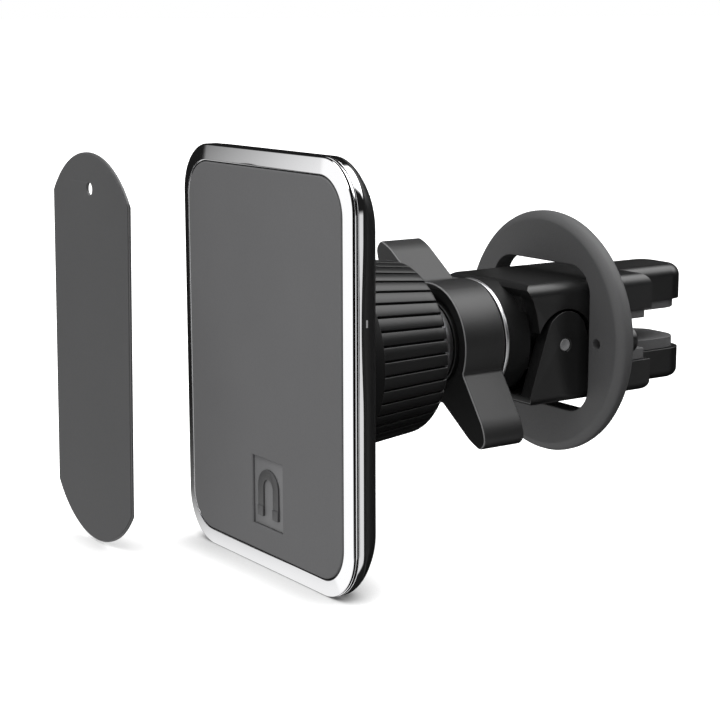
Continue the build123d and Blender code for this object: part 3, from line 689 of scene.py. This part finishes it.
def makeCollarCore():
    front, back = (collarLow.y - faceY) / mm, (collarHigh.y - faceY) / mm
    values = collarValues
    deep = values["ribHeight"]
    profile = softProfile([
        (values["mouth"], front + 0.2, 0.1),
        (values["ringRadius"], front, 0.5),
        (values["ringRadius"], values["ringEnd"] - 0.1, 0.35),
        (values["frontRadius"] - deep, values["ringEnd"] + 0.12, 0.1),
        (values["backRadius"] - deep + 0.05, back - 0.5, 0.5),
        (values["backRadius"] - 1.4, back, 0.3),
        (values["mouth"] + 0.35, back, 0.25),
        (values["mouth"], back - 0.5, 0.3),
    ], steps=5)
    bm = bmesh.new()
    lathe(bm, [(radius * mm, station(place)) for radius, place in profile], 168)
    # painted shade: the whole core, seen in the grooves between the ribs and at its rims, is near-black
    return finishPiece("collarCore", bm, "paintedShadeBlack", "collar", ["collar_nut"], sharp=40)


def makeRibSource():
    # one rib at the top of the collar, flat on top with soft flanks and a rounded rear end
    values = collarValues
    front, back = values["ringEnd"] - 0.05, (collarHigh.y - faceY) / mm
    length = back - front
    stations = [0.0, 0.3, 0.6] + [length * part / 6 for part in range(1, 6)]
    stations += [length - 0.75, length - 0.45, length - 0.22, length - 0.08, length]
    drops = [0.0] * (len(stations) - 5) + [0.0, 0.06, 0.2, 0.4, 0.75]
    loops = []
    for place, drop in zip(stations, drops):
        taper = (values["backRadius"] - values["frontRadius"]) * place / length
        radius = values["frontRadius"] + taper - drop
        half = math.pi * radius / values["ribCount"] - values["groove"] / 2
        base = radius - values["ribHeight"] - 0.25 + drop * 0.4
        edge = 0.12
        section = [
            (-half + 0.05, base), (-half, radius - edge), (-half + 0.04, radius - 0.04),
            (-half + edge, radius), (half - edge, radius), (half - 0.04, radius - 0.04),
            (half, radius - edge), (half - 0.05, base),
        ]
        loops.append([Vector((x * mm, station(front + place), z * mm)) for x, z in section])
    bm = bmesh.new()
    skin(bm, loops)
    return helperObject("ribSource", bm)


def aroundTree(name):
    # Geometry Nodes: the source object repeated round the mount's axis
    tree = bpy.data.node_groups.new(name, "GeometryNodeTree")
    for title, kind in (("Geometry", "Geometry"), ("Source", "Object"), ("Count", "Int"), ("Phase", "Float"),
                        ("Material", "Material")):
        tree.interface.new_socket(title, in_out="INPUT", socket_type="NodeSocket" + kind)
    tree.interface.new_socket("Geometry", in_out="OUTPUT", socket_type="NodeSocketGeometry")
    entry, result = tree.nodes.new("NodeGroupInput").outputs, tree.nodes.new("NodeGroupOutput")
    spots = addNode(tree, "GeometryNodePoints", {"Count": entry["Count"]})
    index = tree.nodes.new("GeometryNodeInputIndex")
    turn = mathNode(tree, "DIVIDE", 2 * math.pi, entry["Count"])
    angle = mathNode(tree, "MULTIPLY_ADD", index.outputs[0], turn, entry["Phase"])
    rotation = addNode(tree, "ShaderNodeCombineXYZ", {"Y": angle})
    info = addNode(tree, "GeometryNodeObjectInfo", {"Object": entry["Source"]})
    place = addNode(tree, "GeometryNodeInstanceOnPoints", {
        "Points": spots.outputs["Points"], "Instance": info.outputs["Geometry"],
        "Rotation": rotation.outputs["Vector"],
    })
    realize = addNode(tree, "GeometryNodeRealizeInstances", {"Geometry": place.outputs["Instances"]})
    paint = addNode(tree, "GeometryNodeSetMaterial", {
        "Geometry": realize.outputs["Geometry"], "Material": entry["Material"],
    })
    setInputs(tree, result, {"Geometry": paint.outputs["Geometry"]})
    return tree


def repeatAround(name, tree, source, count, phase, material, body, replaced=(), sharp=40):
    # runs the tree on an empty mesh and keeps the plain result as a piece
    holder = bpy.data.objects.new(name, bpy.data.meshes.new(name))
    bpy.context.scene.collection.objects.link(holder)
    modifier = holder.modifiers.new("around", "NODES")
    modifier.node_group = tree
    sockets = {item.name: item.identifier for item in tree.interface.items_tree if item.in_out == "INPUT"}
    modifier[sockets["Source"]] = source
    modifier[sockets["Count"]] = count
    modifier[sockets["Phase"]] = phase
    modifier[sockets["Material"]] = materials[material]
    plainResult(holder)
    bpy.data.objects.remove(source)
    smoothTo(holder.data, sharp)
    return rideOn(holder, body, replaced)


around = aroundTree("aroundAxis")


def makeCollarRibs():
    return repeatAround(
        "collarRibs", around, makeRibSource(), collarValues["ribCount"], math.radians(4.0),
        "collarBlack", "collar", ["collar_grip"],
    )


wingLow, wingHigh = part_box("wing_nut")
wingValues = {
    "radius": 10.35, "edge": 0.42, "shadedFrontTop": 9.4, "shadedFrontRadius": 9.0, "bore": 7.42, "recess": (8.9, 8.6),
    "recessDeep": 0.9,
    # x, z and rounding of one wing's corners
    "outline": ((9.55, -4.0, 0.5), (15.1, -12.0, 1.6), (15.75, -14.6, 1.0), (14.35, -16.1, 1.0),
                (11.5, -15.0, 1.2), (3.7, -9.66, 0.8)),
}


def roundedCorners(points, steps=6):
    # points of (x, z, reach); each corner becomes a short curve that starts that far away
    result = []
    for index, (x, z, reach) in enumerate(points):
        here = Vector((x, z))
        before = Vector(points[index - 1][:2])
        after = Vector(points[(index + 1) % len(points)][:2])
        if reach <= 0:
            result.append((x, z))
            continue
        back, ahead = before - here, after - here
        near = here + back.normalized() * min(reach, back.length * 0.45)
        far = here + ahead.normalized() * min(reach, ahead.length * 0.45)
        for step in range(steps + 1):
            part = step / steps
            point = (1 - part) ** 2 * near + 2 * part * (1 - part) * here + part ** 2 * far
            result.append((point.x, point.y))
    return result


def wingOutline():
    # the hub's circle with two wings, the second one half a turn on
    radius = wingValues["radius"]
    wing = wingValues["outline"]
    points = []
    for side in (1, -1):
        points += [(side * x, side * z, reach) for x, z, reach in wing]
        start = math.atan2(side * wing[-1][1], side * wing[-1][0])
        end = math.atan2(-side * wing[0][1], -side * wing[0][0])
        sweep = (start - end) % (2 * math.pi)
        steps = 30
        for step in range(1, steps):
            angle = start - sweep * step / steps
            points.append((radius * math.cos(angle), radius * math.sin(angle), 0))
    return [(x * mm, z * mm) for x, z in roundedCorners(points)]


def makeWingNut():
    bm = bmesh.new()
    prism(bm, wingOutline(), wingLow.y, wingHigh.y)
    bmesh.ops.recalc_face_normals(bm, faces=bm.faces)
    rims = [e for e in bm.edges if e.calc_face_angle(0) > math.radians(60)]
    bmesh.ops.bevel(bm, geom=rims, offset=wingValues["edge"] * mm, segments=3, profile=0.5, affect="EDGES")
    # painted shade: the flat front faces below the foot of the upper wing take the near-black finish
    shadedFrontTop = wingValues["shadedFrontTop"] * mm
    whole = bm.verts[:] + bm.edges[:] + bm.faces[:]
    bmesh.ops.bisect_plane(bm, geom=whole, plane_co=(0, 0, shadedFrontTop), plane_no=(0, 0, 1))
    for face in bm.faces:
        face.normal_update()
        if face.normal.y < -0.95 and face.calc_center_median().z < shadedFrontTop:
            face.material_index = 1
        # painted highlight: the sloping front chamfer takes a lighter grey
        elif -0.95 <= face.normal.y < -0.6:
            face.material_index = 2
    piece = finishPiece("wingNut", bm, "wingGrey", "wing", ["wing_nut"], sharp=50,
                        extra=["paintedShadeBlack", "wingEdgeHighlight"])
    bore = bmesh.new()
    axis, wide = 0.01 * mm, wingValues["bore"] * mm
    front, back = wingLow.y - mm, wingHigh.y + mm
    lathe(bore, [(axis, front), (wide, front), (wide, back), (axis, back)], 96, closed=False)
    recess = bmesh.new()
    mouth, bottom = (radius * mm for radius in wingValues["recess"])
    depth = wingLow.y + wingValues["recessDeep"] * mm
    lathe(recess, [(axis, front), (mouth, front), (bottom, depth), (axis, depth)], 96, closed=False)
    cutWith(piece, helperObject("wingBore", bore), helperObject("wingRecess", recess))
    # painted shade: faces near the axis, the recess and the bore among them, take the near-black finish
    for face in piece.data.polygons:
        if math.hypot(face.center.x, face.center.z) < wingValues["shadedFrontRadius"] * mm:
            face.material_index = 1
    return piece


def makeTurned(name, node, profile, material, body, segments=128, sharp=35):
    # a turned piece from (radius, station, rounding) corners, in millimetres
    bm = bmesh.new()
    lathe(bm, [(radius * mm, station(place)) for radius, place in softProfile(profile)], segments)
    return finishPiece(name, bm, material, body, [node], sharp=sharp)


driveValues = {"bore": 5.0, "front": 33.15, "flange": 7.4, "flangeEnd": 41.5, "crest": 6.3, "deep": 0.28,
               "pitch": 0.65, "threadStart": 42.0, "threadEnd": 47.2, "tip": 6.2, "back": 47.6}


def makeDrive():
    # the screw insert: flanged sleeve, then the thread that drives the slider
    values = driveValues
    bore, front, flange, flangeEnd, crest = (
        values[key] for key in ("bore", "front", "flange", "flangeEnd", "crest"))
    corners = [(bore, front, 0.1), (flange, front, 0.2), (flange, flangeEnd, 0), (crest, flangeEnd, 0)]
    place = values["threadStart"]
    while place < values["threadEnd"]:
        corners += [(crest, place, 0), (crest - values["deep"], place + values["pitch"] / 2, 0)]
        place += values["pitch"]
    corners += [(values["tip"], values["back"] - 0.1, 0.1), (bore, values["back"], 0.1)]
    return makeTurned("driveScrew", "drive_screw", corners, "darkSteel", "wing", sharp=30)


stemValues = {"ball": 8.5, "ballStation": 18.5, "neck": 4.4, "shank": 4.95, "shankStart": 30.9,
              "clipGroove": (32.1, 32.9), "shankEnd": 48.4, "pilot": 3.6, "end": 51.8}


def makeStem():
    # ball, waisted neck and shank
    values = stemValues
    ball, neck, centre, shank = (values[key] for key in ("ball", "neck", "ballStation", "shank"))
    points = [(0.001, centre - ball)]
    joinAngle = math.asin(neck / ball)
    for step in range(1, 41):
        angle = math.pi - (math.pi - joinAngle - 0.12) * step / 40
        points.append((ball * math.sin(angle), centre + ball * math.cos(angle)))
    last = points[-1]
    for part in (0.35, 0.7, 1.0):
        points.append((last[0] + (neck - last[0]) * part ** 0.6, last[1] + 1.4 * part))
    grooveFront, grooveBack = values["clipGroove"]
    points += [(neck, values["shankStart"] - 0.6), (shank, values["shankStart"]), (shank, grooveFront - 0.02)]
    points += [(neck, grooveFront), (neck, grooveBack), (shank, grooveBack + 0.02)]
    shankEnd, pilot, end = values["shankEnd"], values["pilot"], values["end"]
    points += [(shank, shankEnd - 0.05), (pilot, shankEnd), (pilot, end), (0.001, end)]
    bm = bmesh.new()
    lathe(bm, [(radius * mm, station(place)) for radius, place in points], 128, closed=False)
    return finishPiece("ballStem", bm, "steel", "clamp_body", ["ball_stem"], sharp=30)


jawValues = {"edge": 0.28 * mm, "padEdge": 0.22 * mm, "barrelRadius": 10.1 * mm, "barrelEnd": 47.05}


def makeJaw(name, node, body):
    bm = mergedCopy(node)
    bevelSharp(bm, jawValues["edge"], angle=28, segments=3)
    # painted shade: the barrel inside the wing nut takes the near-black finish
    for face in bm.faces:
        middle = face.calc_center_median()
        fromAxis = math.hypot(middle.x, middle.z)
        if middle.y < station(jawValues["barrelEnd"]) and fromAxis < jawValues["barrelRadius"]:
            face.material_index = 1
    return finishPiece(
        name, bm, "blackJaw", body, [node], sharp=38, flat=True, extra=["paintedShadeBlack"])


def makeJawPad(name, node, body):
    bm = mergedCopy(node)
    bevelSharp(bm, jawValues["padEdge"], angle=40, segments=3)
    return finishPiece(name, bm, "rubberPad", body, [node], sharp=38, flat=True)


def makeHingePin():
    low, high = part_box("hinge_pin")
    radius = (high.z - low.z) / 2
    centreY, centreZ = (low.y + high.y) / 2, (low.z + high.z) / 2
    soft, dish = 0.18 * mm, 0.08 * mm
    half = high.x
    profile = [(0.0005 * mm, half - dish), (radius * 0.62, half - dish), (radius * 0.72, half)]
    profile += [(radius - soft, half), (radius, half - soft)]
    profile += [(r, -x) for r, x in reversed(profile)]
    bm = bmesh.new()
    segments = 48
    turns = [2 * math.pi * k / segments for k in range(segments)]
    skin(bm, [
        [Vector((x, centreY + r * math.cos(turn), centreZ + r * math.sin(turn))) for turn in turns]
        for r, x in profile
    ])
    return finishPiece("hingePin", bm, "zincGrey", "clamp_body", ["hinge_pin"], sharp=40)


def makeWasher():
    low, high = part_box("thrust_washer")
    radius = high.x / mm
    near, far = (low.y - faceY) / mm, (high.y - faceY) / mm
    corners = [(6.65, near, 0.1), (radius, near, 0.15), (radius, far, 0.15), (6.65, far, 0.1)]
    return makeTurned("thrustWasher", "thrust_washer", corners, "nickel", "clamp_body")


ringLow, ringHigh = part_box("support_ring")
ringValues = {
    "opening": 26.2, "openingTall": 25.6, "openingCorner": 5.0,
    "lipEdge": 0.3, "around": 192, "seatHalf": 16.95, "seatTall": 2.25, "seatDeep": 1.5, "seatZ": -0.6,
    "hole": 0.95,
}
# depth behind the front and inset of the ring's outer edge
ringRim = (
    (0.0, 1.6), (0.08, 1.25), (0.3, 0.9), (0.6, 0.5), (1.0, 0.15), (1.4, 0.0), (2.2, 0.02), (2.8, 0.2),
    (3.2, 0.5), (3.45, 0.75), (3.6, 1.05),
)


def openingPoint(angle, width, height, corner):
    # where a ray from the middle of a rounded rectangle meets its edge
    ray = Vector((math.cos(angle), math.sin(angle)))
    halfX, halfZ = width / 2, height / 2
    reach = min(halfX / max(abs(ray.x), 1e-9), halfZ / max(abs(ray.y), 1e-9))
    point = ray * reach
    centre = Vector((math.copysign(halfX - corner, ray.x), math.copysign(halfZ - corner, ray.y)))
    if abs(point.x) > abs(centre.x) and abs(point.y) > abs(centre.y):
        along = ray.dot(centre)
        reach = along + math.sqrt(max(0.0, along ** 2 - centre.length_squared + corner ** 2))
        point = ray * reach
    return point


def makeRing():
    values = ringValues
    outer = (ringHigh.x - ringLow.x) / 2
    front, back = ringLow.y, ringHigh.y
    middle = Vector(((ringHigh.x + ringLow.x) / 2, (ringHigh.z + ringLow.z) / 2))
    angles = [2 * math.pi * k / values["around"] for k in range(values["around"])]

    def openingLoop(y, grow):
        size = values["opening"] * mm + 2 * grow, values["openingTall"] * mm + 2 * grow
        points = [middle + openingPoint(a, *size, values["openingCorner"] * mm + grow) for a in angles]
        return [Vector((point.x, y, point.y)) for point in points]

    def circleLoop(y, radius):
        return [Vector((middle.x + radius * math.cos(a), y, middle.y + radius * math.sin(a))) for a in angles]

    lip = values["lipEdge"] * mm
    loops = [openingLoop(back - lip, 0), openingLoop(front + lip, 0)]
    loops += [openingLoop(front + lip * 0.3, lip * 0.3), openingLoop(front, lip)]
    loops += [circleLoop(front + depth * mm, outer - inset * mm) for depth, inset in ringRim]
    loops += [openingLoop(back, lip), openingLoop(back - lip * 0.3, lip * 0.3)]
    bm = bmesh.new()
    skin(bm, loops, closed=True)
    piece = finishPiece(
        "supportRing", bm, "ringGrey", "clamp_body", ["support_ring"], sharp=40)
    cutters = []
    for number, (x, z) in enumerate(screwPlaces("ring_screws")):
        hole = bmesh.new()
        disc(hole, x, z, values["hole"] * mm, front - mm, back + mm, 40)
        cutters.append(helperObject(f"ringHole{number}", hole))
    seat = bmesh.new()
    seatEnd = values["seatHalf"] - values["seatTall"]
    outline = []
    for side in (1, -1):
        for step in range(17):
            angle = math.radians(-90 + 180 * step / 16)
            outline.append((
                side * (seatEnd + values["seatTall"] * math.cos(angle)) * mm,
                (values["seatZ"] + side * values["seatTall"] * math.sin(angle)) * mm,
            ))
    prism(seat, outline, back - values["seatDeep"] * mm, back + mm)
    cutters.append(helperObject("lugSeat", seat))
    cutWith(piece, *cutters, sharp=40)
    return piece


def makePlate():
    layers = (
        ("phonePlate", "phone_plate", "plateCoat", "coated_steel", 0.1),
        ("plateFilm", "plate_adhesive", "filmDark", "adhesive", 0.06),
    )
    for name, node, finish, slot, edge in layers:
        bm = mergedCopy(node)
        bevelSharp(bm, edge * mm, angle=45, segments=2)
        layer = finishPiece(name, bm, finish, "plate", [node], sharp=40, flat=True)
        # the loose plate doesn't darken the pad behind it
        layer.visible_diffuse = False


makeFacePad()
makeBadge()
makeBezel()
makeShell()
makeShellScrews()
makeSideWindow()
makeSocket()
print("head built")
makeCollarCore()
makeCollarRibs()
print("collar built")
makeWingNut()
makeDrive()
makeStem()
print("wing nut built")
makeJaw("upperJaw", "upper_jaw", "clamp_body")
makeJaw("lowerJaw", "lower_jaw", "lower_clamp")
makeJawPad("upperPad", "upper_pad", "clamp_body")
makeJawPad("lowerPad", "lower_pad", "lower_clamp")
makeHingePin()
makeWasher()
makeRing()
print("clamp built")
makePlate()

# the hidden and half-hidden CAD parts keep their shape and take a finish
cadFinish = {
    "pad_adhesive": "filmDark", "magnet_tray": "blackShell", "magnets": "nickel", "yoke_plate": "steel",
    "socket_screws": "darkSteel", "ball_liner": "nylonDark", "friction_ring": "rubberPad",
    "slip_ring": "nylonDark", "stem_cross_pin": "steel", "nut_clip": "steel", "wedge_slider": "blackShell",
    "jaw_spring": "steel", "ring_screws": "darkSteel",
}
for nodeName, finish in cadFinish.items():
    mesh = nodes[nodeName].data
    mesh.materials.clear()
    mesh.materials.append(materials[finish])
print("CAD parts finished")

floorValues = {"size": 60.0, "tone": (0.5, 0.5, 0.5), "glow": 0.95,
               "contact": 11.0, "contactPower": 2.4}


def makeFloor():
    low = bezelLow.z
    size = floorValues["size"]
    bm = bmesh.new()
    corners = ((-size, -size), (size, -size), (size, size), (-size, size))
    bm.faces.new([bm.verts.new((x, y, low)) for x, y in corners])
    floor = objectFrom("floor", bm)
    material, tree, shader = principled("floorPaper")
    paper = noiseNode(tree, objectPlace(tree), 3.0)
    bright = floorValues["tone"]
    tone = addNode(tree, "ShaderNodeMix", {
        "Factor": paper, "A": (*[channel * 0.985 for channel in bright], 1), "B": (*bright, 1),
    }, data_type="RGBA")
    # bright paper with a painted contact shadow: its glow fades with ambient occlusion close under the mount
    reach = {"Distance": floorValues["contact"] * mm}
    contact = addNode(tree, "ShaderNodeAmbientOcclusion", reach, samples=16)
    glow = mathNode(tree, "POWER", contact.outputs["AO"], floorValues["contactPower"])
    glow = mathNode(tree, "MULTIPLY", glow, floorValues["glow"])
    setInputs(tree, shader, {
        "Base Color": tone.outputs["Result"], "Roughness": 0.9, "Specular IOR Level": 0.0,
        "Emission Color": (1, 1, 1, 1), "Emission Strength": glow,
    })
    floor.data.materials.append(material)
    # the studio alone lights the mount, so the paper stays out of its reflections
    floor.visible_glossy = False
    floor.visible_diffuse = False
    return floor


# brightness of each part of the room, and the directions between which it fades in
studioValues = {
    "frontWall": 1.08, "frontEdge": (-0.448, -0.585), "floorGlow": 0.95, "floorEdge": (-0.2, -0.45),
    "floorReach": (0.2, -0.1), "sideGlow": 0.75, "panelAcross": (-0.56, 0.83, 0.0), "panelEdge": (0.16, 0.09),
    "panelFront": (0.3, 0.5), "panelTop": (0.06, -0.12), "rearBox": 3.7, "rearBoxWay": (0.15, 0.70, 0.69),
    "rearBoxEdge": (0.84, 0.97), "dark": 0.012, "overhead": 3.6, "overheadSpread": 70, "overheadTilt": (6, 8),
}


def makeWorld():
    # the camera sees white paper; light and reflections come from a dark room with a bright front
    # wall, a glowing floor, a panel at the right and a large softbox above and behind
    world = bpy.data.worlds.new("studio")
    bpy.context.scene.world = world
    world.use_nodes = True
    tree = world.node_tree
    back = tree.nodes["Background"]
    values = studioValues
    way = tree.nodes.new("ShaderNodeTexCoord").outputs["Generated"]
    split = addNode(tree, "ShaderNodeSeparateXYZ", {0: way})

    def rise(value, edge, side=1):
        inputs = {"Value": value, "From Min": side * edge[0], "From Max": side * edge[1]}
        return addNode(tree, "ShaderNodeMapRange", inputs, interpolation_type="SMOOTHSTEP").outputs["Result"]

    def along(direction):
        toward = addNode(tree, "ShaderNodeVectorMath", {0: way, 1: direction}, operation="DOT_PRODUCT")
        return toward.outputs["Value"]

    front = rise(split.outputs["Y"], values["frontEdge"])
    floor = rise(split.outputs["Z"], values["floorEdge"])
    floor = mathNode(tree, "MULTIPLY", floor, rise(split.outputs["Y"], values["floorReach"]))
    across = along(values["panelAcross"])
    panelEdge = values["panelEdge"]
    side = mathNode(tree, "MULTIPLY", rise(across, panelEdge, -1), rise(across, panelEdge))
    side = mathNode(tree, "MULTIPLY", side, rise(split.outputs["X"], values["panelFront"]))
    side = mathNode(tree, "MULTIPLY", side, rise(split.outputs["Z"], values["panelTop"]))
    rear = rise(along(values["rearBoxWay"]), values["rearBoxEdge"])
    total = mathNode(tree, "MULTIPLY", front, values["frontWall"])
    total = mathNode(tree, "MAXIMUM", total, mathNode(tree, "MULTIPLY", floor, values["floorGlow"]))
    total = mathNode(tree, "MAXIMUM", total, mathNode(tree, "MULTIPLY", side, values["sideGlow"]))
    total = mathNode(tree, "MULTIPLY_ADD", rear, values["rearBox"], total)
    total = mathNode(tree, "ADD", total, values["dark"])
    path = tree.nodes.new("ShaderNodeLightPath")
    seen = addNode(tree, "ShaderNodeMix", {"Factor": path.outputs["Is Camera Ray"], "A": total, "B": 1.0})
    setInputs(tree, back, {"Strength": seen.outputs["Result"], "Color": (1, 1, 1, 1)})
    return world


def makeOverhead():
    light = bpy.data.lights.new("overhead", "SUN")
    light.energy = studioValues["overhead"]
    light.angle = math.radians(studioValues["overheadSpread"])
    lamp = bpy.data.objects.new("overhead", light)
    bpy.context.scene.collection.objects.link(lamp)
    lamp.rotation_euler = (*[math.radians(turn) for turn in studioValues["overheadTilt"]], 0)
    return lamp


cameraValues = {"azimuth": 55.85, "elevation": 10.78, "roll": -0.15, "distance": 300.0, "lens": 90.17,
                "aim": (-1.5, 1.5, -1.8)}


def makeCamera():
    # looks at a point beside the ball's centre
    ballCentre = Vector((0, station(stemValues["ballStation"]), 0))
    aim = ballCentre + Vector(cameraValues["aim"]) * mm
    turn, rise = math.radians(cameraValues["azimuth"]), math.radians(cameraValues["elevation"])
    forward = Vector((-math.sin(turn) * math.cos(rise), math.cos(turn) * math.cos(rise), -math.sin(rise)))
    data = bpy.data.cameras.new("camera")
    data.lens = cameraValues["lens"]
    data.clip_start = 0.01
    camera = bpy.data.objects.new("camera", data)
    bpy.context.scene.collection.objects.link(camera)
    camera.location = aim - forward * cameraValues["distance"] * mm
    roll = Matrix.Rotation(math.radians(cameraValues["roll"]), 3, "Z")
    camera.rotation_euler = (forward.to_track_quat("-Z", "Y").to_matrix() @ roll).to_euler()
    bpy.context.scene.camera = camera


makeFloor()
makeWorld()
makeOverhead()
makeCamera()
bpy.context.scene.view_settings.view_transform = "Standard"
print("stage ready")
